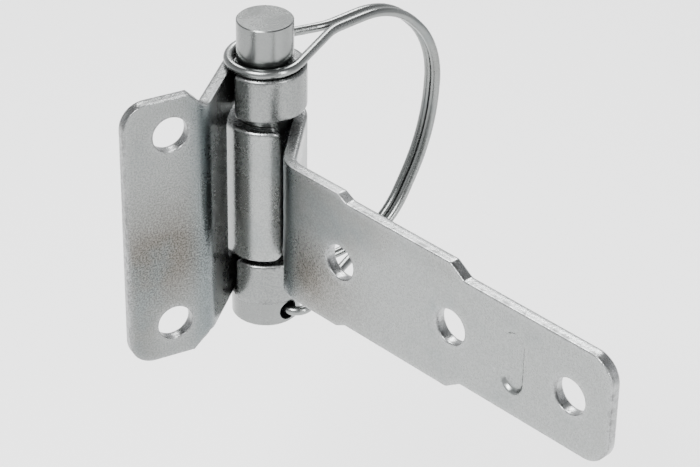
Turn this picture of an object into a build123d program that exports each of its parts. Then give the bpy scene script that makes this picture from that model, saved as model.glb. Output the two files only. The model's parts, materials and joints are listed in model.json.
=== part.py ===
from build123d import *
import math
import os

# Strap hinge with a headed pin and a wire pin keeper.
# Millimetres, +Z up along the hinge pin. The mounting leaf lies in the XZ plane and its
# mounting face looks along -Y. The origin is the middle of the leaf's two screw holes, on
# that face. Both plates are flat on their mounting side and curl round the pin behind it.

# ---- driving dimensions ----------------------------------------------------------------
plate = 3.2                 # thickness of both plates
pin_diameter = 14.0
pin_play = 0.08             # radial clearance between pin and knuckles
face_offset = 13.0          # pin axis to the mounting face of either plate
curl_gap = 1.5              # free edge of a curl to the inside of its own plate

stack_height = 64.0         # outer faces of the two leaf knuckles
knuckle_height = 11.6
eye_play = 3.8              # strap eye between the two knuckles, both ends together
eye_drop = 0.7              # how far the eye sits below the middle of the stack

leaf_height = 72.0
leaf_bend = 48.0            # degrees
leaf_bend_radius = 2.4      # inside
leaf_hole_reach = 31.0      # pin axis to the screw holes, along the leaf
leaf_hole_edge = 12.0       # screw holes to the leaf's outer edge
leaf_hole_spacing = 53.0
leaf_corner = 6.5
shoulder_reach = 22.0       # pin axis to where the leaf's shoulders reach the stack height
notch_clear = 1.5           # eye to the edge of the notch in the leaf
notch_round = 2.5

strap_bend = 50.5           # degrees
strap_bend_radius = 5.0     # inside
opening_angle = 106.0       # between the two mounting faces at rest
first_hole_reach = 40.0     # pin axis to the first hole, along the strap
hole_pitch = 36.25
hole_count = 3
last_hole_edge = 11.5       # last hole to the strap's end
shoulder_widths = (34.0, 28.2)  # strap beyond each shoulder
shoulder_lengths = (3.0, 4.4)
shoulder_leads = (1.0, 0.8)  # how far each shoulder starts ahead of its hole
shoulder_round = 1.5
strap_corner = 6.5
eye_corner = 2.5
knuckle_corner = 1.0
screw_hole = 9.0            # clears an M8 bolt

bead_length = 16.6
bead_width = 7.0
bead_depth = 1.0
bead_from_last_hole = 17.0
bead_taper = 35.0           # degrees

head_ledge = 1.7            # head beyond the shank, all round
head_height = 7.4
pin_above = 11.8            # pin end above the upper knuckle
pin_chamfer = 0.25
head_chamfer = 0.5
cross_hole = 5.2

wire = 2.4                  # keeper wire
wire_gap = 0.2              # between the two wires where they run side by side
keeper_azimuth = 14.5       # degrees, direction in which the keeper stands out
keeper_reach = 57.6         # pin axis to the middle of the wire at the widest place
ring_play = 0.7             # ring to pin
ring_seat = 0.12            # ring above the upper knuckle
ring_rise = 0.8             # how far the wires rise from the ring to where they meet
meet_reach = 20.5           # pin axis to where the two wires meet above
wire_end_gap = 2.4          # between the wire's two ends inside the cross hole
wire_out = 4.3              # side of the head to the wire that stands beside it
side_radius = 3.4           # bend outside the cross hole
meet_radius = 12.0

# ---- derived ---------------------------------------------------------------------------
pin_r = pin_diameter / 2
bore_r = pin_r + pin_play
knuckle_r = bore_r + plate
head_diameter = pin_diameter + 2 * head_ledge
wire_side = head_diameter / 2 + wire_out
curl_end = math.degrees(math.asin((bore_r - curl_gap) / knuckle_r))
stack_top = stack_height / 2
stack_bottom = -stack_top
eye_height = stack_height - 2 * knuckle_height - eye_play
strap_widths = (eye_height, *shoulder_widths)
cross_hole_z = stack_bottom - head_height / 2
strap_azimuth = opening_angle - 180
leaf_end = leaf_hole_reach + leaf_hole_edge
hole_reaches = [first_hole_reach + i * hole_pitch for i in range(hole_count)]
strap_end = hole_reaches[-1] + last_hole_edge
to_row = Pos(leaf_hole_reach, face_offset, 0)
big = 4 * (strap_end + leaf_height)


def crease(bend):
    """Distance, along the straight part, from the pin axis to the sharp corner of the bend."""
    angle = math.radians(bend)
    return (face_offset + bore_r * math.cos(angle)) / math.sin(angle)


def curled_plate(bend, bend_radius, reach, height):
    """A plate that curls round the pin, runs straight along +X, bends left and runs flat.

    Its section is drawn with the pin axis at the origin: a ring sector, a straight part, a
    bend and a flat part that ends reach millimetres from the pin axis along the flat.
    """
    turn = math.radians(bend)
    outer_bend = bend_radius + plate
    bend_start = crease(bend) - outer_bend * math.tan(turn / 2)
    end_angle = math.radians(curl_end)
    centre = Vector(bend_start, bore_r + outer_bend)
    along = Vector(math.cos(turn), math.sin(turn))
    across = Vector(math.sin(turn), -math.cos(turn))
    face_end = across * face_offset + along * reach
    back_end = face_end - across * plate
    face_start = centre + across * outer_bend
    back_start = centre + across * bend_radius
    tip = Vector(math.cos(end_angle), math.sin(end_angle))
    mid_face = centre + Vector(math.sin(turn / 2), -math.cos(turn / 2)) * outer_bend
    mid_back = centre + Vector(math.sin(turn / 2), -math.cos(turn / 2)) * bend_radius
    with BuildSketch() as section:
        with BuildLine():
            Line((0, bore_r), (bend_start, bore_r))
            ThreePointArc((bend_start, bore_r), mid_face, face_start)
            Line(face_start, face_end)
            Line(face_end, back_end)
            Line(back_end, back_start)
            ThreePointArc(back_start, mid_back, (bend_start, knuckle_r))
            Line((bend_start, knuckle_r), (0, knuckle_r))
            ThreePointArc((0, knuckle_r), Vector(-1, -1).normalized() * knuckle_r, tip * knuckle_r)
            Line(tip * knuckle_r, tip * bore_r)
            ThreePointArc(tip * bore_r, Vector(-1, -1).normalized() * bore_r, (0, bore_r))
        make_face()
    return extrude(section.sketch, height / 2, both=True)


def round_corners(body, centre, span, radius):
    """Rounds the edges across the plate whose middle lies within span of a point."""
    near = [e for e in body.edges() if (e.center() - Vector(*centre)).length < span]
    short = [e for e in near if abs(e.length - plate) < 0.2 * plate and e.geom_type == GeomType.LINE]
    return fillet(short, radius)


def tip_corner(edge_z, inward, radius):
    """What a round of a radius takes off a corner of the curl's free edge.

    inward is 1 where the curl lies above the edge at edge_z, and -1 where it lies below.
    """
    tip = Vector((bore_r + knuckle_r) / 2, 0).rotate(Axis.Z, curl_end)
    plane = Plane(
        origin=(tip.X, tip.Y, edge_z),
        x_dir=Vector(0, -1).rotate(Axis.Z, curl_end),
        z_dir=tip.normalized() * -inward,
    )
    square = Pos(radius / 2, radius / 2) * Rectangle(radius, radius)
    return extrude(plane * (square - Pos(radius, radius) * Circle(radius)), plate, both=True)


def screw_holes(places):
    """Cylinders through a plate, each place being (reach along the flat, height)."""
    return [Pos(x, 0, z) * Rot(90, 0, 0) * Cylinder(screw_hole / 2, big) for x, z in places]


def mounting_leaf():
    """Leaf: the curled plate mirrored, with shoulders, a notch for the eye and two holes."""
    body = curled_plate(leaf_bend, leaf_bend_radius, leaf_end, max(leaf_height, stack_height))
    flat = Rot(0, 0, leaf_bend)
    half = leaf_height / 2
    far = big / 2
    body &= flat * leaf_outline()
    notch_height = stack_height - 2 * knuckle_height
    notch_end = math.sqrt(knuckle_r**2 - bore_r**2) + notch_clear
    in_curl = Pos(0, bore_r - (curl_gap + far) / 2, 0) * Box(far, far, notch_height)
    in_straight = Pos(notch_end - far / 2, bore_r + far / 2 - curl_gap, 0) * Box(far, far, notch_height)
    body -= in_curl
    body -= fillet(in_straight.edges().filter_by(Axis.Y).group_by(Axis.X)[-1], notch_round)
    body -= [flat * hole for hole in screw_holes(leaf_holes())]
    for side in (1, -1):
        corner = Vector(leaf_end, -face_offset + plate / 2).rotate(Axis.Z, leaf_bend)
        body = round_corners(body, (corner.X, corner.Y, side * half), plate, leaf_corner)
    for side in (1, -1):
        body -= tip_corner(side * stack_top, -side, knuckle_corner)
        body -= tip_corner(side * (stack_top - knuckle_height), side, knuckle_corner)
    leaf = mirror(body, Plane.XZ)
    return to_row * Rot(0, 0, 180 + leaf_bend) * leaf


def leaf_outline():
    """The leaf's height along its flat: the stack's at the knuckles, then its own."""
    half = leaf_height / 2
    slope = abs(half - stack_top)
    upper = [
        (-big, stack_top),
        (shoulder_reach, stack_top),
        (shoulder_reach + slope, half),
        (big, half),
    ]
    lower = [(x, -z) for x, z in reversed(upper)]
    with BuildSketch(Plane.XZ) as outline:
        with BuildLine():
            Polyline(*upper, *lower, close=True)
        make_face()
    return extrude(outline.sketch, big / 2, both=True)


def leaf_holes():
    """Places of the leaf's holes: (reach along the flat, height)."""
    return [(leaf_hole_reach, side * leaf_hole_spacing / 2) for side in (1, -1)]


def strap_outline():
    """The strap's width where it is flat, with a sloping shoulder beside each inner hole."""
    points = [(first_hole_reach - big, strap_widths[0] / 2)]
    for i in range(hole_count - 1):
        start = hole_reaches[i] - shoulder_leads[i]
        points.append((start, strap_widths[i] / 2))
        points.append((start + shoulder_lengths[i], strap_widths[i + 1] / 2))
    points.append((strap_end + big, strap_widths[-1] / 2))
    lower = [(x, -z) for x, z in reversed(points)]
    with BuildSketch(Plane.XZ) as outline:
        with BuildLine():
            Polyline(*points, *lower, close=True)
        make_face()
        inner = [v for v in outline.vertices() if 0 < v.X < strap_end]
        fillet(inner, shoulder_round)
    return extrude(outline.sketch, big / 2, both=True)


def bead_shape(height):
    """A stadium-shaped mound that stands on the XY plane, long along Y."""
    return extrude(SlotOverall(bead_length, bead_width, rotation=90), height, taper=bead_taper)


def strap():
    """Strap: the curled plate with two shoulders, three holes and a pressed bead."""
    body = curled_plate(strap_bend, strap_bend_radius, strap_end, eye_height)
    flat = Rot(0, 0, strap_bend)
    body &= flat * strap_outline()
    body -= [flat * hole for hole in screw_holes([(x, 0) for x in hole_reaches])]
    for side in (1, -1):
        corner = Vector(strap_end, -face_offset + plate / 2).rotate(Axis.Z, strap_bend)
        z = side * strap_widths[-1] / 2
        body = round_corners(body, (corner.X, corner.Y, z), plate, strap_corner)
        body -= tip_corner(side * eye_height / 2, -side, eye_corner)
    reach = hole_reaches[-1] - bead_from_last_hole
    into_strap = Pos(reach, -face_offset, 0) * Rot(-90, 0, 0)
    body -= flat * into_strap * bead_shape(bead_depth)
    body += flat * into_strap * Pos(0, 0, plate) * bead_shape(bead_depth)
    return to_row * Pos(0, 0, -eye_drop) * Rot(0, 0, strap_azimuth - strap_bend) * body


def hinge_pin():
    """Headed pin, head down, with a cross hole through the head for the keeper's ends."""
    length = stack_height + pin_above
    shank = Pos(0, 0, stack_bottom) * Cylinder(pin_r, length, align=(Align.CENTER, Align.CENTER, Align.MIN))
    shank = chamfer(shank.edges().group_by(Axis.Z)[-1], pin_chamfer)
    head = Pos(0, 0, stack_bottom) * Cylinder(
        head_diameter / 2, head_height, align=(Align.CENTER, Align.CENTER, Align.MAX)
    )
    head = chamfer(head.edges().filter_by(GeomType.CIRCLE), head_chamfer)
    hole = Pos(0, 0, cross_hole_z) * Rot(90, 0, 0) * Cylinder(cross_hole / 2, big)
    return to_row * Rot(0, 0, keeper_azimuth) * (shank + head - hole)


def keeper_route():
    """Corner points and radii of half the keeper's wire, from its end to the ring.

    X is the direction in which the keeper stands out, Y is across, Z is up.
    """
    side = (wire + wire_gap) / 2
    ring_z = stack_top + ring_seat + wire / 2
    top = ring_z + ring_rise
    height = top - cross_hole_z
    points = [
        (0, wire_end_gap / 2, cross_hole_z),
        (0, wire_side, cross_hole_z),
        (0.47 * keeper_reach, side, cross_hole_z),
        (0.74 * keeper_reach, side, top - 0.92 * height),
        (0.97 * keeper_reach, side, top - 0.61 * height),
        (keeper_reach, side, top - 0.24 * height),
        (0.71 * keeper_reach, side, top),
        (meet_reach, side, top),
    ]
    return points, side, ring_z


def corner_radius(before, corner, after, share=0.49):
    """Largest round that uses no more than a share of the shorter run beside a corner."""
    first = Vector(*corner) - Vector(*before)
    second = Vector(*after) - Vector(*corner)
    turn = math.radians(first.get_angle(second))
    return share * min(first.length, second.length) / math.tan(turn / 2)


def pin_keeper():
    """One wire: from the cross hole, up and round the pin as a ring, and back to the hole."""
    half, side, ring_z = keeper_route()
    ring_r = pin_r + ring_play + wire / 2
    meet = Vector(meet_reach, side)
    touch = math.degrees(math.atan2(side, meet_reach) + math.acos(ring_r / meet.length))
    step = (360 - 2 * touch) / 6
    ring_corner = ring_r / math.cos(math.radians(step))
    angles = [touch + step * (2 * i + 1) for i in range(3)]
    ring = [
        (ring_corner * math.cos(math.radians(a)), ring_corner * math.sin(math.radians(a)), ring_z)
        for a in angles
    ]
    route = half + ring + [(x, -y, z) for x, y, z in reversed(half)]
    radii = [corner_radius(*route[i - 1 : i + 2]) for i in range(1, len(route) - 1)]
    bends = len(half) - 1
    for i in (0, -1):
        radii[i] = side_radius
    for i in (bends - 1, -bends):
        radii[i] = meet_radius
    for i in range(bends, bends + 3):
        radii[i] = ring_r * 0.995
    path = FilletPolyline(*route, radius=radii)
    start = Plane(origin=path @ 0, z_dir=path % 0)
    body = sweep(start * Circle(wire / 2), path=path)
    return to_row * Rot(0, 0, keeper_azimuth) * body


def main():
    os.makedirs("parts", exist_ok=True)
    pieces = {
        "mounting_leaf": mounting_leaf(),
        "strap": strap(),
        "hinge_pin": hinge_pin(),
        "pin_keeper": pin_keeper(),
    }
    for name, piece in pieces.items():
        export_step(piece, f"parts/{name}.step")


main()
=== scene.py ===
import json
import math

import bmesh
import bpy
import numpy as np
from bpy.props import FloatProperty, FloatVectorProperty, PointerProperty
from mathutils import Matrix, Vector
from mathutils.geometry import delaunay_2d_cdt


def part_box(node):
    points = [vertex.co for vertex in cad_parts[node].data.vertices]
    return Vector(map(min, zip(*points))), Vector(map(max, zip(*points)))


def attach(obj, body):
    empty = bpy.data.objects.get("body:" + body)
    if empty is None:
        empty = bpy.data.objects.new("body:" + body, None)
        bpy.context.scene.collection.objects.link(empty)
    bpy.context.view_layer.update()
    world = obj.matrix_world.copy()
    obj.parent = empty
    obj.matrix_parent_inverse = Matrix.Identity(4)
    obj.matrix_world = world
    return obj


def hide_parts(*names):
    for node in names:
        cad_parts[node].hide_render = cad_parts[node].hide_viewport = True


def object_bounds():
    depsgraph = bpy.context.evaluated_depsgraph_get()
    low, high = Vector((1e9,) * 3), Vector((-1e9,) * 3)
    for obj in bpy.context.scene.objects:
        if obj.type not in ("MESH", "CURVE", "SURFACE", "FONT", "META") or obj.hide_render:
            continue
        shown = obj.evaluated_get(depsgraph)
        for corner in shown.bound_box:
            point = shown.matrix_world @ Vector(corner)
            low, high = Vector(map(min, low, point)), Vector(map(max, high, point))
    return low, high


bl_info = {
    "name": "Strap hinge finish",
    "version": (1, 0, 0),
    "blender": (4, 5, 0),
    "location": "View3D > Sidebar > Strap hinge",
    "description": "Pressed plates with rolled edges, zinc finish and a studio for a strap hinge",
    "category": "Object",
}

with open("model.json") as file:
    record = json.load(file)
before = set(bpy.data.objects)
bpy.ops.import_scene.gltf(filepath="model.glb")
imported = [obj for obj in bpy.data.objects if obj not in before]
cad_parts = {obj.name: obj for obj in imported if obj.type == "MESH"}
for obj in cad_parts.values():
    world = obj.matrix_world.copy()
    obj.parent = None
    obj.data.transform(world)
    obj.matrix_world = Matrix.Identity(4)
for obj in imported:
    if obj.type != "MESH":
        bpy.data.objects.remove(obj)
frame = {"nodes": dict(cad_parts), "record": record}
cad_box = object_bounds()

MM = 0.001
EDGE_STEPS = 4                            # rows in each rounded edge
CUT_ROWS = (0.8, 0.62, 0.44, 0.2, -0.1)   # rows down a cut edge, in half thicknesses from the middle
TORN_DEPTH, TORN_WIDE = 0.62, 0.2         # torn band of a cut edge, in half thicknesses from the middle
CUT_LEAST = 0.45                          # how cut the rest of an edge looks, where torn metal is 1
RUB_REACH = 0.45 * MM                     # how far rubbing fades in from an edge
BEND_SHADE_REACH = 4 * MM                        # how far the painted shade at the bends fades
BEAD_WALL = 0.35                          # the bead's sloping wall, as a share of its half width
RELIEF_HEIGHT = 0.1 * MM                  # height of the plating's grain
# A stained patch: its middle from a hole (along the plate, up) and its half-widths.
LEAF_STAIN = ((0.0, -6 * MM), (26 * MM, 15 * MM))
STRAP_STAIN = ((-12 * MM, -9 * MM), (16 * MM, 10 * MM))
PIN_LOW, PIN_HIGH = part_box("hinge_pin")
EYE_LOW, EYE_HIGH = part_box("strap")
LEAF_LOW, LEAF_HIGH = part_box("mounting_leaf")
PIN_AXIS = (PIN_LOW + PIN_HIGH) / 2
KEEPER_LOW, KEEPER_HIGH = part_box("pin_keeper")
PIN_TRAVEL = next(joint["range_m"][1] for joint in frame["record"]["behaviour"]["joints"]
                  if joint["name"] == "pin_withdraw")


# ---- sizes and colours -------------------------------------------------------------------
def length(name, description, default):
    """A length property in metres."""
    return FloatProperty(name=name, description=description, default=default, min=0.0,
                         subtype="DISTANCE", unit="LENGTH", precision=5)


def angle(name, description, degrees):
    """An angle property, its default given in degrees."""
    return FloatProperty(name=name, description=description, default=math.radians(degrees),
                         subtype="ANGLE", unit="ROTATION")


def colour(name, description, default):
    """A linear colour property."""
    return FloatVectorProperty(name=name, description=description, default=default, size=3,
                               min=0.0, max=1.0, subtype="COLOR")


class HingePlateSizes(bpy.types.PropertyGroup):
    """Sizes that the leaf and the strap share."""

    thickness: length("Thickness", "Thickness of the sheet", 3.2 * MM)
    bore: length("Bore radius", "Inside radius of the knuckles", 7.08 * MM)
    offset: length("Face offset", "Pin axis to the mounting face", 13.0 * MM)
    gap: length("Curl gap", "Free edge of a curl to the inside of its own plate", 1.5 * MM)
    face_round: length("Face edge", "Broken edge on the mounting side", 0.22 * MM)
    back_round: length("Back edge", "Rolled edge on the back", 0.8 * MM)
    hole: length("Hole radius", "Radius of the screw holes", 4.5 * MM)
    grid: length("Grid", "Spacing of the surface's points", 0.9 * MM)


class HingeLeafSizes(bpy.types.PropertyGroup):
    """Sizes of the mounting leaf."""

    bend: angle("Bend", "Bend between the knuckles' tangent and the flat", 48.0)
    bend_radius: length("Bend radius", "Inside radius of the bend", 2.4 * MM)
    stack: length("Stack height", "Outer faces of the two knuckles", 64.0 * MM)
    knuckle: length("Knuckle height", "Height of one knuckle", 11.6 * MM)
    hole_reach: length("Hole reach", "Pin axis to the holes along the leaf", 31.0 * MM)
    hole_spacing: length("Hole spacing", "Between the two holes", 53.0 * MM)
    shoulder: length("Shoulder reach", "Pin axis to the start of the shoulders", 22.0 * MM)
    notch_clear: length("Notch clearance", "Eye to the edge of the notch", 1.5 * MM)
    notch_round: length("Notch round", "Corner radius of the notch", 2.5 * MM)
    corner: length("Corner", "Radius of the outer corners", 6.5 * MM)
    tip_corner: length("Knuckle corner", "Radius of the knuckles' free corners", 1.0 * MM)


class HingeStrapSizes(bpy.types.PropertyGroup):
    """Sizes of the strap."""

    bend: angle("Bend", "Bend between the eye's tangent and the flat", 50.5)
    bend_radius: length("Bend radius", "Inside radius of the bend", 5.0 * MM)
    opening: angle("Opening", "Angle between the two mounting faces at rest", 106.0)
    first_hole: length("First hole", "Pin axis to the first hole", 40.0 * MM)
    pitch: length("Hole pitch", "Between the holes", 36.25 * MM)
    last_edge: length("End", "Last hole to the end of the strap", 11.5 * MM)
    middle_width: length("Middle width", "Width between the shoulders", 34.0 * MM)
    end_width: length("End width", "Width beyond the second shoulder", 28.2 * MM)
    inner_lead: length("Inner lead", "First shoulder starts ahead of its hole", 1.0 * MM)
    inner_slope: length("Inner slope", "Length of the first shoulder", 3.0 * MM)
    outer_lead: length("Outer lead", "Second shoulder starts ahead of its hole", 0.8 * MM)
    outer_slope: length("Outer slope", "Length of the second shoulder", 4.4 * MM)
    shoulder_round: length("Shoulder round", "Radius at the shoulders", 1.5 * MM)
    corner: length("Corner", "Radius of the end corners", 6.5 * MM)
    tip_corner: length("Eye corner", "Radius of the eye's free corners", 2.5 * MM)
    bead_length: length("Bead length", "Length of the pressed bead", 16.6 * MM)
    bead_width: length("Bead width", "Width of the pressed bead", 7.0 * MM)
    bead_depth: length("Bead depth", "Depth of the pressed bead", 1.0 * MM)
    bead_back: length("Bead place", "Last hole to the middle of the bead", 17.0 * MM)


class HingeFinish(bpy.types.PropertyGroup):
    """Colours of the zinc finish and the studio."""

    zinc: colour("Zinc", "Plain zinc plating", (0.255, 0.265, 0.26))
    warm: colour("Warm stain", "Straw-coloured patches in the plating", (0.135, 0.126, 0.112))
    # The cool colour is a real blue-grey stain in random patches, and painted shade where it darkens the
    # bends.
    cool_stain_and_bend_shade: colour("Cool stain and bend shade", "Blue-grey stain patches, and painted shade at the bends", (0.15, 0.18, 0.188))
    bright: colour("Rubbed metal", "Bright metal on rubbed edges", (0.42, 0.43, 0.43))
    sheared: colour("Sheared metal", "Torn metal of a cut edge", (0.07, 0.07, 0.07))
    floor: colour("Floor", "Studio floor", (0.97, 0.97, 0.97))


# ---- plate geometry ----------------------------------------------------------------------
class Section:
    """The middle line of a curled and bent sheet, by its length s from the curl's free edge.

    The line is an arc round the pin, a straight run tangent to it, an arc for the bend and a
    straight run for the flat. A point is the line's point plus w times its normal, where the
    normal points to the pin in the curl and out of the mounting face in the flat.
    """

    def __init__(self, size, bend, bend_radius, turned, mirrored, drop):
        half = size.thickness / 2
        self.radius = size.bore + half
        outer = size.bore + size.thickness
        start = math.asin((size.bore - size.gap) / outer)
        self.tip = start + 2 * math.pi
        self.bend = bend
        self.arc = bend_radius + half
        self.outer_arc = bend_radius + size.thickness
        crease = (size.offset + size.bore * math.cos(bend)) / math.sin(bend)
        self.run = crease - self.outer_arc * math.tan(bend / 2)
        self.s1 = self.radius * (self.tip - math.pi / 2)
        self.s2 = self.s1 + self.run
        self.s3 = self.s2 + self.arc * bend
        self.centre = np.array([self.run, size.bore + self.outer_arc])
        self.along = np.array([math.cos(bend), math.sin(bend)])
        self.across = np.array([math.sin(bend), -math.cos(bend)])
        flat_start = self.centre + self.arc * self.across
        self.reach3 = float(flat_start @ self.along)
        self.turned = turned
        self.mirrored = mirrored
        self.drop = drop

    def s_at(self, reach):
        """Length along the line at which the flat, or the bend, has a reach from the pin axis."""
        s = np.linspace(self.s1, self.s3, 200)
        line, _ = self.line(s)
        beyond = self.s3 + (reach - self.reach3)
        return float(np.interp(reach, line @ self.along, s)) if reach < self.reach3 else beyond

    def line(self, s):
        """Points of the middle line and its normals, for an array of lengths."""
        s = np.asarray(s, float)
        a = self.tip - s / self.radius
        curl = self.radius * np.stack([np.cos(a), np.sin(a)], -1)
        curl_n = -np.stack([np.cos(a), np.sin(a)], -1)
        straight = np.stack([s - self.s1, np.full_like(s, self.radius)], -1)
        straight_n = np.broadcast_to([0.0, -1.0], straight.shape)
        b = (s - self.s2) / self.arc
        bent_n = np.stack([np.sin(b), -np.cos(b)], -1)
        bent = self.centre + self.arc * bent_n
        flat = self.centre + self.arc * self.across + (s - self.s3)[..., None] * self.along
        flat_n = np.broadcast_to(self.across, flat.shape)
        where = [(s < self.s1)[..., None], (s < self.s2)[..., None], (s < self.s3)[..., None]]
        return (np.select(where, [curl, straight, bent], flat),
                np.select(where, [curl_n, straight_n, bent_n], flat_n))

    def place(self, s, z, w):
        """Points in the row frame for lengths s, heights z and depths w."""
        line, normal = self.line(s)
        p = line + np.asarray(w)[..., None] * normal
        if self.mirrored:
            p = p * [1.0, -1.0]
        c, d = math.cos(self.turned), math.sin(self.turned)
        x = p[..., 0] * c - p[..., 1] * d + PIN_AXIS.x
        y = p[..., 0] * d + p[..., 1] * c + PIN_AXIS.y
        return np.stack([x, y, np.asarray(z) + self.drop], -1)


def rounded_outline(corners, radii, step):
    """A closed polygon with each corner replaced by the tangent arc of its radius.

    The points run at most a step apart, so that the outline follows a bend.
    """
    corners = np.asarray(corners, float)
    before = np.roll(corners, 1, 0)
    after = np.roll(corners, -1, 0)
    pieces = []
    for p, c, n, r in zip(before, corners, after, radii):
        u = (p - c) / np.linalg.norm(p - c)
        v = (n - c) / np.linalg.norm(n - c)
        half = math.acos(np.clip(u @ v, -1, 1)) / 2
        if r <= 0 or abs(half - math.pi / 2) < 1e-4:
            pieces.append(c[None])
            continue
        back = r / math.tan(half)
        middle = c + (u + v) / np.linalg.norm(u + v) * r / math.sin(half)
        a = c + u * back - middle
        turn = math.pi - 2 * half
        sign = np.sign(a[0] * (c + v * back - middle)[1] - a[1] * (c + v * back - middle)[0])
        t = sign * np.linspace(0, turn, max(5, int(r * turn / step * 2) + 2))
        arc = np.stack([a[0] * np.cos(t) - a[1] * np.sin(t), a[0] * np.sin(t) + a[1] * np.cos(t)], -1)
        pieces.append(middle + arc)
    loop = np.concatenate(pieces)
    ahead = np.roll(loop, -1, 0)
    counts = np.maximum(1, np.ceil(np.linalg.norm(ahead - loop, axis=1) / step).astype(int))
    shares = np.concatenate([np.arange(k) / k for k in counts])
    start = np.repeat(loop, counts, 0)
    end = np.repeat(ahead, counts, 0)
    return start + (end - start) * shares[:, None]


def inward(loop, solid_left):
    """Unit vectors at a loop's points that point into the sheet."""
    chord = np.roll(loop, -1, 0) - np.roll(loop, 1, 0)
    chord /= np.linalg.norm(chord, axis=1)[:, None]
    side = np.stack([-chord[:, 1], chord[:, 0]], -1)
    return side if solid_left else -side


def inside(points, loop):
    """Which points lie in a loop, by counting the edges that a ray to the right crosses."""
    x, y = points[:, 0][:, None], points[:, 1][:, None]
    a, b = loop, np.roll(loop, -1, 0)
    spans = (a[:, 1] > y) != (b[:, 1] > y)
    run = b[:, 1] - a[:, 1]
    cut = a[:, 0] + (y - a[:, 1]) * (b[:, 0] - a[:, 0]) / np.where(run == 0, 1e-12, run)
    return (np.sum(spans & (x < cut), axis=1) % 2) == 1


def loop_distance(points, loop):
    """Distance of each point from a loop's points."""
    best = np.full(len(points), np.inf)
    for part in np.array_split(np.arange(len(points)), max(1, len(points) // 2000)):
        gap = points[part][:, None] - loop[None]
        best[part] = np.sqrt((gap**2).sum(-1)).min(1)
    return best


def edge_profile(thickness, face_round, back_round):
    """Rows of (inset, depth) from the mounting face over the edge to the back.

    Each row is a point of a quarter circle on the face's side, or of one on the back's side.
    """
    t = np.linspace(0, math.pi / 2, EDGE_STEPS + 1)
    half = thickness / 2
    face = np.stack([face_round * (1 - np.sin(t)), half - face_round * (1 - np.cos(t))], -1)
    back = np.stack([back_round * (1 - np.cos(t)), -half + back_round * (1 - np.sin(t))], -1)
    middle = np.array([[0.0, half * share] for share in CUT_ROWS])
    return np.concatenate([face, middle, back])


def sheet_mesh(name, section, outline, holes, size, stain, fine=None, press=None):
    """A closed sheet with rounded edges: two faces joined by an edge strip round each loop.

    The faces are the same triangles over a grid of lengths and heights, put at the two depths,
    and each strip carries edge_profile along its loop. stain is the middle (length, height) and
    the two half-widths of a stained patch, and press gives a depth to move points by.
    """
    profile = edge_profile(size.thickness, size.face_round, size.back_round)
    loops = [(outline, True)] + [(h, False) for h in holes]
    inset = max(size.face_round, size.back_round)
    rims = [loop + inward(loop, left) * inset for loop, left in loops]
    low, high = outline.min(0), outline.max(0)
    axes = [np.arange(low[i] + size.grid / 2, high[i], size.grid) for i in (0, 1)]
    points = np.stack(np.meshgrid(*axes, indexing="ij"), -1).reshape(-1, 2)
    if fine is not None:
        (a, b), (c, d) = fine
        step = size.grid / 3
        extra = np.stack(np.meshgrid(np.arange(a, c, step), np.arange(b, d, step), indexing="ij"), -1)
        clear = (points < [a, b]).any(1) | (points > [c, d]).any(1)
        points = np.concatenate([points[clear], extra.reshape(-1, 2)])
    keep = inside(points, rims[0])
    for rim in rims[1:]:
        keep &= ~inside(points, rim)
    for rim in rims:
        keep &= loop_distance(points, rim) > size.grid * 0.4
    flat = np.concatenate(rims + [points[keep]])
    edges, first = [], 0
    for rim in rims:
        ids = first + np.arange(len(rim))
        edges += np.stack([ids, np.roll(ids, -1)], -1).tolist()
        first += len(rim)
    verts, _, faces, source, _, _ = delaunay_2d_cdt([Vector(p) for p in flat / MM], edges, [], 0, 1e-6)
    if len(verts) != len(flat):
        raise RuntimeError(f"{name}: the outline crosses itself")
    order = np.array([s[0] for s in source])
    tris = order[np.array(faces)]
    middle = flat[tris].mean(1)
    solid = inside(middle, rims[0])
    for rim in rims[1:]:
        solid &= ~inside(middle, rim)
    tris = tris[solid]
    p, q, r = (flat[tris[:, i]] for i in range(3))
    area = (q - p)[:, 0] * (r - p)[:, 1] - (q - p)[:, 1] * (r - p)[:, 0]
    tris = np.where((area < 0)[:, None], tris[:, ::-1], tris)
    half = size.thickness / 2
    total = len(flat)
    where = [flat, flat]
    depth = [np.full(total, half), np.full(total, -half)]
    edge = [np.zeros(total), np.zeros(total)]
    polygons = [tris, tris[:, ::-1] + total]
    count, first = 2 * total, 0
    for (loop, left), rim in zip(loops, rims):
        n = len(loop)
        into = inward(loop, left)
        rows = [first + np.arange(n)]
        for row_inset, row_depth in profile:
            where.append(loop + into * row_inset)
            depth.append(np.full(n, row_depth))
            torn = math.exp(-(((row_depth / half - TORN_DEPTH) / TORN_WIDE) ** 2))
            edge.append(np.full(n, CUT_LEAST + (1 - CUT_LEAST) * torn))
            rows.append(count + np.arange(n))
            count += n
        rows.append(first + np.arange(n) + total)
        for upper, lower in zip(rows[:-1], rows[1:]):
            quad = np.stack([upper, lower, np.roll(lower, -1), np.roll(upper, -1)], -1)
            polygons.append(quad if left else quad[:, ::-1])
        first += n
    where, depth, edge = np.concatenate(where), np.concatenate(depth), np.concatenate(edge)
    if press is not None:
        depth = depth - press(where)
    xyz = section.place(where[:, 0], where[:, 1], depth)
    mesh = bpy.data.meshes.new(name)
    mesh.from_pydata(xyz.tolist(), [], [f for group in polygons for f in group.tolist()])
    near = np.full(len(where), np.inf)
    for loop, _ in loops:
        near = np.minimum(near, loop_distance(where, loop))
    # Painted shade at the bends: this mask darkens the bend towards the cool colour.
    bent = np.exp(-(((where[:, 0] - (section.s2 + section.s3) / 2) / BEND_SHADE_REACH) ** 2))
    stain_at, stain_wide = np.array(stain)
    stained = np.exp(-(((where - stain_at) / stain_wide) ** 2).sum(1))
    for label, values in (("near_edge", np.exp(-near / RUB_REACH)), ("cut_edge", edge),
                          ("bent", bent), ("stained", stained)):
        mesh.attributes.new(label, "FLOAT", "POINT").data.foreach_set("value", values.astype(np.float32))
    mesh.validate()
    return finished(mesh, name)


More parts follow.
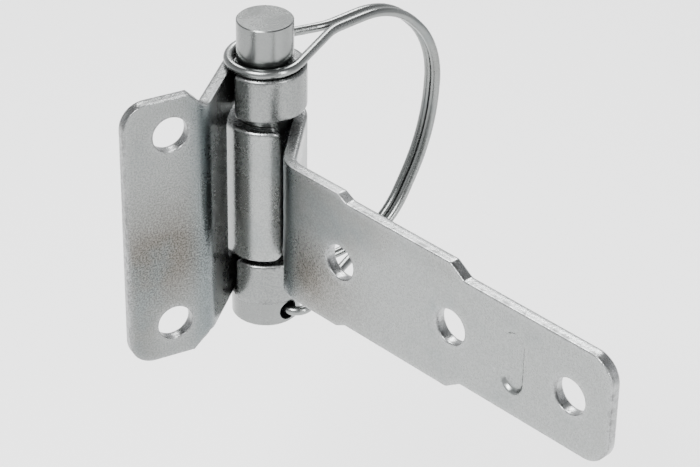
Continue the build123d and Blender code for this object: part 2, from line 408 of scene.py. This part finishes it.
def finished(mesh, name):
    """An object for a mesh in the row frame, smooth, with its faces outwards."""
    bm = bmesh.new()
    bm.from_mesh(mesh)
    bmesh.ops.remove_doubles(bm, verts=bm.verts, dist=1e-7)
    bmesh.ops.recalc_face_normals(bm, faces=bm.faces)
    bm.to_mesh(mesh)
    bm.free()
    mesh.polygons.foreach_set("use_smooth", np.ones(len(mesh.polygons), bool))
    obj = bpy.data.objects.new(name, mesh)
    bpy.context.scene.collection.objects.link(obj)
    return obj


def circle(centre, radius, step):
    """A circular loop of points about a step apart."""
    n = max(24, int(2 * math.pi * radius / step))
    t = np.arange(n) * 2 * math.pi / n
    return np.asarray(centre) + radius * np.stack([np.cos(t), np.sin(t)], -1)


# ---- materials ---------------------------------------------------------------------------
def new_group(name, inputs, outputs):
    """An empty shader group with float or colour sockets."""
    group = bpy.data.node_groups.new(name, "ShaderNodeTree")
    kinds = {"f": "NodeSocketFloat", "c": "NodeSocketColor", "v": "NodeSocketVector"}
    for label, kind, default in inputs:
        socket = group.interface.new_socket(label, in_out="INPUT", socket_type=kinds[kind])
        if default is not None:
            socket.default_value = default
    for label, kind in outputs:
        group.interface.new_socket(label, in_out="OUTPUT", socket_type=kinds[kind])
    start = group.nodes.new("NodeGroupInput")
    end = group.nodes.new("NodeGroupOutput")
    return group, start, end


def noise(tree, vector, scale, detail=4.0, rough=0.55):
    """A noise texture's node."""
    node = tree.nodes.new("ShaderNodeTexNoise")
    node.inputs["Scale"].default_value = scale
    node.inputs["Detail"].default_value = detail
    node.inputs["Roughness"].default_value = rough
    tree.links.new(vector, node.inputs["Vector"])
    return node


def spread(tree, value, low, high, to_low=0.0, to_high=1.0):
    """A smooth map of a value from low..high to another range."""
    node = tree.nodes.new("ShaderNodeMapRange")
    node.interpolation_type = "SMOOTHSTEP"
    for label, x in (("From Min", low), ("From Max", high), ("To Min", to_low), ("To Max", to_high)):
        node.inputs[label].default_value = x
    tree.links.new(value, node.inputs["Value"])
    return node.outputs["Result"]


def maths(tree, operation, a, b):
    """A maths node of a socket and a socket or number."""
    node = tree.nodes.new("ShaderNodeMath")
    node.operation = operation
    tree.links.new(a, node.inputs[0])
    if isinstance(b, float):
        node.inputs[1].default_value = b
    else:
        tree.links.new(b, node.inputs[1])
    return node.outputs[0]


def mixed(tree, factor, a, b):
    """A colour mix; a and b are sockets."""
    node = tree.nodes.new("ShaderNodeMix")
    node.data_type = "RGBA"
    tree.links.new(factor, node.inputs["Factor"])
    tree.links.new(a, node.inputs["A"])
    tree.links.new(b, node.inputs["B"])
    return node.outputs["Result"]


def plating_group():
    """Zinc plating: stains in broad patches, painted shade at the bends, fine grain, specks, and rubbed
    edges.
    """
    inputs = [("Vector", "v", None), ("Zinc", "c", (0.6, 0.6, 0.6, 1)), ("Warm", "c", (0.5, 0.5, 0.4, 1)),
              ("Cool", "c", (0.4, 0.4, 0.5, 1)), ("Bright", "c", (0.8, 0.8, 0.8, 1)),
              ("Sheared", "c", (0.3, 0.3, 0.3, 1)), ("Rub", "f", 0.0), ("Cut", "f", 0.0), ("Bend shade", "f", 0.0),
              ("Stained", "f", 0.0), ("Grain", "f", 0.3)]
    outputs = [("Color", "c"), ("Roughness", "f"), ("Height", "f")]
    tree, start, end = new_group("Zinc plating", inputs, outputs)
    vector = start.outputs["Vector"]
    patches = noise(tree, vector, 42.0, 5.0, 0.6).outputs["Fac"]
    broad = noise(tree, vector, 19.0, 3.0).outputs["Fac"]
    grain = noise(tree, vector, 2300.0, 1.0, 0.6).outputs["Fac"]
    specks = noise(tree, vector, 900.0, 2.0, 0.6).outputs["Fac"]
    torn = noise(tree, vector, 650.0, 4.0, 0.7).outputs["Fac"]
    ragged = maths(tree, "MULTIPLY", start.outputs["Stained"], spread(tree, patches, 0.3, 0.6, 0.75, 1.1))
    warm = maths(tree, "MAXIMUM", spread(tree, broad, 0.5, 0.68, 0.0, 0.45), ragged)
    base = mixed(tree, warm, start.outputs["Zinc"], start.outputs["Warm"])
    # Mixing the bends towards the darker cool colour paints shade there; the cool patches from noise are a
    # real stain.
    cool_stain_and_bend_shade = maths(tree, "MAXIMUM", maths(tree, "MULTIPLY", start.outputs["Bend shade"], 0.75),
                 spread(tree, patches, 0.52, 0.72, 0.0, 0.55))
    base = mixed(tree, cool_stain_and_bend_shade, base, start.outputs["Cool"])
    base = mixed(tree, spread(tree, specks, 0.64, 0.74, 0.0, 0.25), base, start.outputs["Bright"])
    rub = maths(tree, "MULTIPLY", start.outputs["Rub"], spread(tree, patches, 0.3, 0.6, 0.45, 1.0))
    base = mixed(tree, rub, base, start.outputs["Bright"])
    strength = maths(tree, "MULTIPLY", start.outputs["Grain"], maths(tree, "ADD", ragged, 0.6))
    swing = maths(tree, "MULTIPLY", spread(tree, grain, 0.34, 0.66, -1.0, 0.85), strength)
    shade = maths(tree, "ADD", swing, 1.0)
    grained = tree.nodes.new("ShaderNodeVectorMath")
    grained.operation = "SCALE"
    tree.links.new(base, grained.inputs[0])
    tree.links.new(shade, grained.inputs["Scale"])
    base = grained.outputs["Vector"]
    cut = maths(tree, "MULTIPLY", start.outputs["Cut"], spread(tree, torn, 0.46, 0.58, 0.4, 0.9))
    base = mixed(tree, cut, base, start.outputs["Sheared"])
    tree.links.new(base, end.inputs["Color"])
    rough = spread(tree, patches, 0.3, 0.7, 0.19, 0.28)
    rough = maths(tree, "ADD", rough, maths(tree, "MULTIPLY", grain, 0.08))
    rough = maths(tree, "SUBTRACT", rough, maths(tree, "MULTIPLY", rub, 0.06))
    tree.links.new(maths(tree, "ADD", rough, maths(tree, "MULTIPLY", cut, 0.2)), end.inputs["Roughness"])
    height = maths(tree, "ADD", maths(tree, "MULTIPLY", grain, 0.7), maths(tree, "MULTIPLY", broad, 0.8))
    height = maths(tree, "ADD", height, maths(tree, "MULTIPLY", cut, 1.2))
    tree.links.new(height, end.inputs["Height"])
    return tree


def zinc(name, finish, group, plates, relief, grain, tone=1.0):
    """A zinc-plated steel of a tone. Plates read their own edge, bend and stain attributes."""
    material = bpy.data.materials.new(name)
    material.use_nodes = True
    tree = material.node_tree
    shader = tree.nodes["Principled BSDF"]
    shader.inputs["Metallic"].default_value = 1.0
    plating = tree.nodes.new("ShaderNodeGroup")
    plating.node_tree = group
    for label, value in (("Zinc", finish.zinc), ("Warm", finish.warm), ("Cool", finish.cool_stain_and_bend_shade),
                         ("Bright", finish.bright), ("Sheared", finish.sheared)):
        plating.inputs[label].default_value = (*(tone * part for part in value), 1.0)
    plating.inputs["Grain"].default_value = grain
    place = tree.nodes.new("ShaderNodeTexCoord")
    tree.links.new(place.outputs["Object"], plating.inputs["Vector"])
    if plates:
        for label, socket in (("near_edge", "Rub"), ("cut_edge", "Cut"), ("bent", "Bend shade"),
                              ("stained", "Stained")):
            reader = tree.nodes.new("ShaderNodeAttribute")
            reader.attribute_name = label
            tree.links.new(reader.outputs["Fac"], plating.inputs[socket])
    bump = tree.nodes.new("ShaderNodeBump")
    bump.inputs["Strength"].default_value = relief
    bump.inputs["Distance"].default_value = RELIEF_HEIGHT
    tree.links.new(plating.outputs["Height"], bump.inputs["Height"])
    tree.links.new(bump.outputs["Normal"], shader.inputs["Normal"])
    tree.links.new(plating.outputs["Color"], shader.inputs["Base Color"])
    tree.links.new(plating.outputs["Roughness"], shader.inputs["Roughness"])
    return material


def plating():
    """The shared plating group, made once."""
    return bpy.data.node_groups.get("Zinc plating") or plating_group()


def put_on(obj, material):
    """Gives an object one material."""
    obj.data.materials.clear()
    obj.data.materials.append(material)


# ---- operators ---------------------------------------------------------------------------
class HINGE_OT_leaf(bpy.types.Operator):
    """Make the mounting leaf with its two knuckles"""

    bl_idname = "hinge.leaf"
    bl_label = "Mounting leaf"

    def execute(self, context):
        plate, size = context.scene.hinge_plate, context.scene.hinge_leaf
        section = Section(plate, size.bend, size.bend_radius, math.pi + size.bend, True, 0.0)
        half, top = (LEAF_HIGH.z - LEAF_LOW.z) / 2, size.stack / 2
        slope = half - top
        end = section.s_at(PIN_AXIS.x - LEAF_LOW.x)
        a, b = section.s_at(size.shoulder), section.s_at(size.shoulder + slope)
        outer = plate.bore + plate.thickness
        notch = section.s1 + math.sqrt(outer**2 - plate.bore**2) + size.notch_clear
        cut = top - size.knuckle
        upper = [(0.0, cut), (0.0, top), (a, top), (b, half), (end, half)]
        radii = [size.tip_corner, size.tip_corner, 0.0, 0.0, size.corner]
        corners = [(notch, cut)] + upper + [(s, -z) for s, z in reversed(upper)] + [(notch, -cut)]
        all_radii = [size.notch_round] + radii + radii[::-1] + [size.notch_round]
        outline = rounded_outline(corners[::-1], all_radii[::-1], plate.grid)
        reach = section.s_at(size.hole_reach)
        aside = size.hole_spacing / 2
        holes = [circle((reach, side * aside), plate.hole, plate.grid / 2) for side in (1, -1)]
        (along, up), half_widths = LEAF_STAIN
        stain = ((section.s_at(size.hole_reach + along), up), half_widths)
        leaf = sheet_mesh("pressed_leaf", section, outline, holes, plate, stain)
        put_on(leaf, zinc("Zinc leaf", context.scene.hinge_finish, plating(), plates=True,
                          relief=0.38, grain=0.26, tone=0.66))
        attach(leaf, "leaf")
        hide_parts("mounting_leaf")
        return {"FINISHED"}


class HINGE_OT_strap(bpy.types.Operator):
    """Make the strap with its eye, shoulders, holes and pressed bead"""

    bl_idname = "hinge.strap"
    bl_label = "Strap"

    def execute(self, context):
        plate, size = context.scene.hinge_plate, context.scene.hinge_strap
        drop = (EYE_HIGH.z + EYE_LOW.z) / 2
        turned = size.opening - math.pi - size.bend
        section = Section(plate, size.bend, size.bend_radius, turned, False, drop)
        half = (EYE_HIGH.z - EYE_LOW.z) / 2
        first, second = size.first_hole - size.inner_lead, size.first_hole + size.pitch - size.outer_lead
        last_hole = size.first_hole + 2 * size.pitch
        middle, narrow = size.middle_width / 2, size.end_width / 2
        upper = [(0.0, half), (section.s_at(first), half), (section.s_at(first + size.inner_slope), middle),
                 (section.s_at(second), middle), (section.s_at(second + size.outer_slope), narrow),
                 (section.s_at(last_hole + size.last_edge), narrow)]
        radii = [size.tip_corner] + [size.shoulder_round] * 4 + [size.corner]
        corners = upper + [(s, -z) for s, z in reversed(upper)]
        outline = rounded_outline(corners[::-1], (radii + radii[::-1])[::-1], plate.grid)
        reaches = [section.s_at(size.first_hole + i * size.pitch) for i in range(3)]
        holes = [circle((s, 0.0), plate.hole, plate.grid / 2) for s in reaches]
        at = section.s_at(last_hole - size.bead_back)
        stretch = (size.bead_length - size.bead_width) / 2
        wide = size.bead_width / 2

        def press(points):
            """The bead's depth: a smooth step of the distance from its middle line."""
            along = np.clip(points[:, 1], -stretch, stretch)
            away = np.hypot(points[:, 0] - at, points[:, 1] - along)
            t = np.clip((wide - away) / (wide * BEAD_WALL), 0, 1)
            return size.bead_depth * t * t * (3 - 2 * t)

        margin = MM
        tall = size.bead_length / 2 + margin
        fine = ((at - wide - margin, -tall), (at + wide + margin, tall))
        (along, up), half_widths = STRAP_STAIN
        stain = ((section.s_at(size.first_hole + along), up), half_widths)
        strap = sheet_mesh("pressed_strap", section, outline, holes, plate, stain, fine, press)
        put_on(strap, zinc("Zinc strap", context.scene.hinge_finish, plating(), plates=True,
                           relief=0.34, grain=0.2, tone=0.88))
        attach(strap, "strap")
        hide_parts("strap")
        return {"FINISHED"}


class HINGE_OT_pin(bpy.types.Operator):
    """Finish the headed pin and its wire keeper"""

    bl_idname = "hinge.pin"
    bl_label = "Pin and keeper"

    def execute(self, context):
        finish = context.scene.hinge_finish
        for node, name, grain, tone in (("hinge_pin", "Zinc pin", 0.1, 0.66),
                                        ("pin_keeper", "Zinc wire", 0.05, 0.68)):
            coat = zinc(name, finish, plating(), plates=False, relief=grain, grain=grain, tone=tone)
            put_on(frame["nodes"][node], coat)
        return {"FINISHED"}


# Name, width and height, watts and place of each lamp.
STUDIO_LIGHTS = (
    ("key", (0.45, 0.45), 24.0, (-0.5, -0.35, 0.75)),
    ("fill", (0.12, 0.7), 8.0, (0.35, -0.75, 0.3)),
    ("back", (0.8, 0.3), 18.0, (0.35, 0.6, 0.75)),
)

# The surroundings' colour, and their strength from a low to a high direction.
SKY_COLOUR = (0.97, 0.98, 1.0, 1.0)
SKY_LOW, SKY_HIGH = 0.05, 0.7
SKY_PALE, SKY_DARK = 1.35, 0.45

# The camera's lens in millimetres, its shift, its place, and its heading, pitch and roll in degrees.
LENS, SHIFT = 132.1, (-0.0069, 0.0029)
CAMERA_PLACE = (-0.2088, -0.4742, 0.3297)
CAMERA_TURN = (61.44, -32.59, 1.03)


def area_light(name, size, power, place, target):
    """A soft rectangular light that faces a target."""
    light = bpy.data.lights.new(name, "AREA")
    light.shape = "RECTANGLE"
    light.size, light.size_y = size
    light.energy = power
    obj = bpy.data.objects.new(name, light)
    obj.location = place
    obj.rotation_euler = (target - Vector(place)).to_track_quat("-Z", "Y").to_euler()
    bpy.context.scene.collection.objects.link(obj)


def studio_sky(tree):
    """Soft surroundings: pale walls that turn dark overhead, by the height of a direction."""
    place = tree.nodes.new("ShaderNodeTexCoord")
    split = tree.nodes.new("ShaderNodeSeparateXYZ")
    tree.links.new(place.outputs["Generated"], split.inputs["Vector"])
    background = tree.nodes["Background"]
    background.inputs["Color"].default_value = SKY_COLOUR
    strength = spread(tree, split.outputs["Z"], SKY_LOW, SKY_HIGH, SKY_PALE, SKY_DARK)
    tree.links.new(strength, background.inputs["Strength"])


class HINGE_OT_stage(bpy.types.Operator):
    """Make the floor below the withdrawn pin and its hanging keeper, the soft lights and the camera"""

    bl_idname = "hinge.stage"
    bl_label = "Studio"

    def execute(self, context):
        hanging = KEEPER_HIGH.z - KEEPER_LOW.z
        floor_z, reach = cad_box[0].z - PIN_TRAVEL - hanging, 3.0
        mesh = bpy.data.meshes.new("floor")
        mesh.from_pydata([(-reach, -reach, floor_z), (reach, -reach, floor_z), (reach, reach, floor_z),
                          (-reach, reach, floor_z)], [], [(0, 1, 2, 3)])
        floor = bpy.data.objects.new("floor", mesh)
        context.scene.collection.objects.link(floor)
        material = bpy.data.materials.new("Pale floor")
        material.use_nodes = True
        shader = material.node_tree.nodes["Principled BSDF"]
        shader.inputs["Base Color"].default_value = (*context.scene.hinge_finish.floor, 1.0)
        shader.inputs["Roughness"].default_value = 0.9
        mesh.materials.append(material)
        world = bpy.data.worlds.new("Studio")
        context.scene.world = world
        world.use_nodes = True
        studio_sky(world.node_tree)
        target = (cad_box[0] + cad_box[1]) / 2
        for name, size, power, place in STUDIO_LIGHTS:
            area_light(name, size, power, place, target)
        camera = bpy.data.cameras.new("camera")
        camera.sensor_width = 36.0
        camera.lens = LENS
        camera.shift_x, camera.shift_y = SHIFT
        camera.clip_start = 0.01
        viewer = bpy.data.objects.new("camera", camera)
        heading, pitch, roll = (math.radians(turn) for turn in CAMERA_TURN)
        forward = Vector((math.cos(heading) * math.cos(pitch), math.sin(heading) * math.cos(pitch),
                          math.sin(pitch)))
        level = Vector((math.sin(heading), -math.cos(heading), 0.0))
        upward = level.cross(forward)
        right = math.cos(roll) * level + math.sin(roll) * upward
        up = math.cos(roll) * upward - math.sin(roll) * level
        turned = Matrix((right, up, -forward)).transposed()
        viewer.matrix_world = Matrix.Translation(CAMERA_PLACE) @ turned.to_4x4()
        context.scene.collection.objects.link(viewer)
        context.scene.camera = viewer
        return {"FINISHED"}


class HINGE_PT_panel(bpy.types.Panel):
    """Lists the hinge's pieces"""

    bl_label = "Strap hinge"
    bl_idname = "HINGE_PT_panel"
    bl_space_type = "VIEW_3D"
    bl_region_type = "UI"
    bl_category = "Strap hinge"

    def draw(self, context):
        for operator in OPERATORS:
            self.layout.operator(operator.bl_idname)


GROUPS = {"hinge_plate": HingePlateSizes, "hinge_leaf": HingeLeafSizes,
          "hinge_strap": HingeStrapSizes, "hinge_finish": HingeFinish}
OPERATORS = (HINGE_OT_leaf, HINGE_OT_strap, HINGE_OT_pin, HINGE_OT_stage)


def register():
    for kind in (*GROUPS.values(), *OPERATORS, HINGE_PT_panel):
        bpy.utils.register_class(kind)
    for name, kind in GROUPS.items():
        setattr(bpy.types.Scene, name, PointerProperty(type=kind))


def unregister():
    for name in GROUPS:
        delattr(bpy.types.Scene, name)
    for kind in reversed((*GROUPS.values(), *OPERATORS, HINGE_PT_panel)):
        bpy.utils.unregister_class(kind)


def main():
    register()
    bpy.ops.hinge.leaf()
    bpy.ops.hinge.strap()
    bpy.ops.hinge.pin()
    bpy.ops.hinge.stage()


if __name__ == "__main__":
    main()
